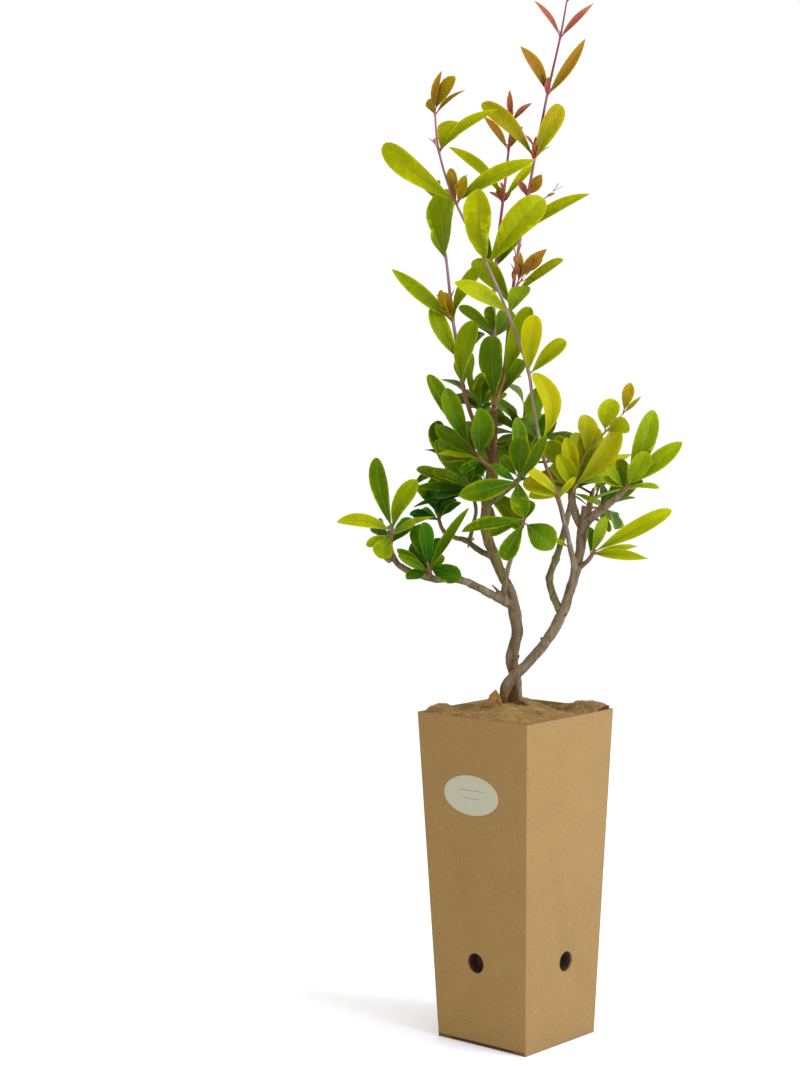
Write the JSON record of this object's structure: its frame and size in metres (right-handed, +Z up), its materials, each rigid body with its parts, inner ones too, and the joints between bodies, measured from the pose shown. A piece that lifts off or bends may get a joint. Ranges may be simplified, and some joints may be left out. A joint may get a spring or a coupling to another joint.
{
  "type": "pomegranate tree in a pot",
  "caption": "Young pomegranate tree with slender forking stems and small oval leaves, in a tall tapered square pot of kraft board with a coir mat on top",
  "frame": {"origin": "centre of the pot's flat underside, where it stands", "axes": "+Z up along the pot; the pot's four sides face +X, +Y, -X and -Y, and the oval label is on the -X side"},
  "size_m": [0.2343, 0.2123, 0.7697],
  "materials": {
    "board": "matte",
    "label": "matte",
    "soil": "matte",
    "fibre": "matte",
    "bark": "matte",
    "leaf_young": "satin",
    "leaf_yellow": "satin",
    "leaf_lime": "satin",
    "leaf_green": "satin",
    "leaf_dark": "satin"
  },
  "bodies": {
    "root": {"pot_floor": "board", "pot_wall": "board", "label": "label", "soil": "soil", "fibre_mat": "fibre", "trunk": "bark", "main_leader": "bark", "right_stem": "bark", "right_bough": "bark", "cut_stub": "bark", "right_inner_bough": "bark", "inner_stem": "bark", "inner_stem_top": "bark", "front_bough": "bark", "left_limb": "bark", "centre_twig": "bark", "left_mid_bough": "bark", "left_mid_twig": "bark", "back_left_bough": "bark", "back_right_bough": "bark", "back_middle_bough": "bark", "back_top_bough": "bark", "front_shoot_foliage": "leaf_yellow", "top_shoot_foliage": "leaf_young", "middle_shoot_foliage": "leaf_young", "left_shoot_foliage": "leaf_green", "left_tip_foliage": "leaf_lime", "left_spur_foliage": "leaf_dark", "centre_low_foliage": "leaf_green", "centre_front_foliage": "leaf_green", "centre_left_foliage": "leaf_green", "right_tip_foliage": "leaf_lime", "right_low_foliage": "leaf_lime", "right_inner_foliage": "leaf_yellow", "right_back_foliage": "leaf_lime", "left_inner_foliage": "leaf_dark", "left_back_foliage": "leaf_dark", "back_left_foliage": "leaf_dark", "back_right_foliage": "leaf_dark", "back_middle_foliage": "leaf_dark", "back_top_foliage": "leaf_dark"}
  },
  "joints": []
}
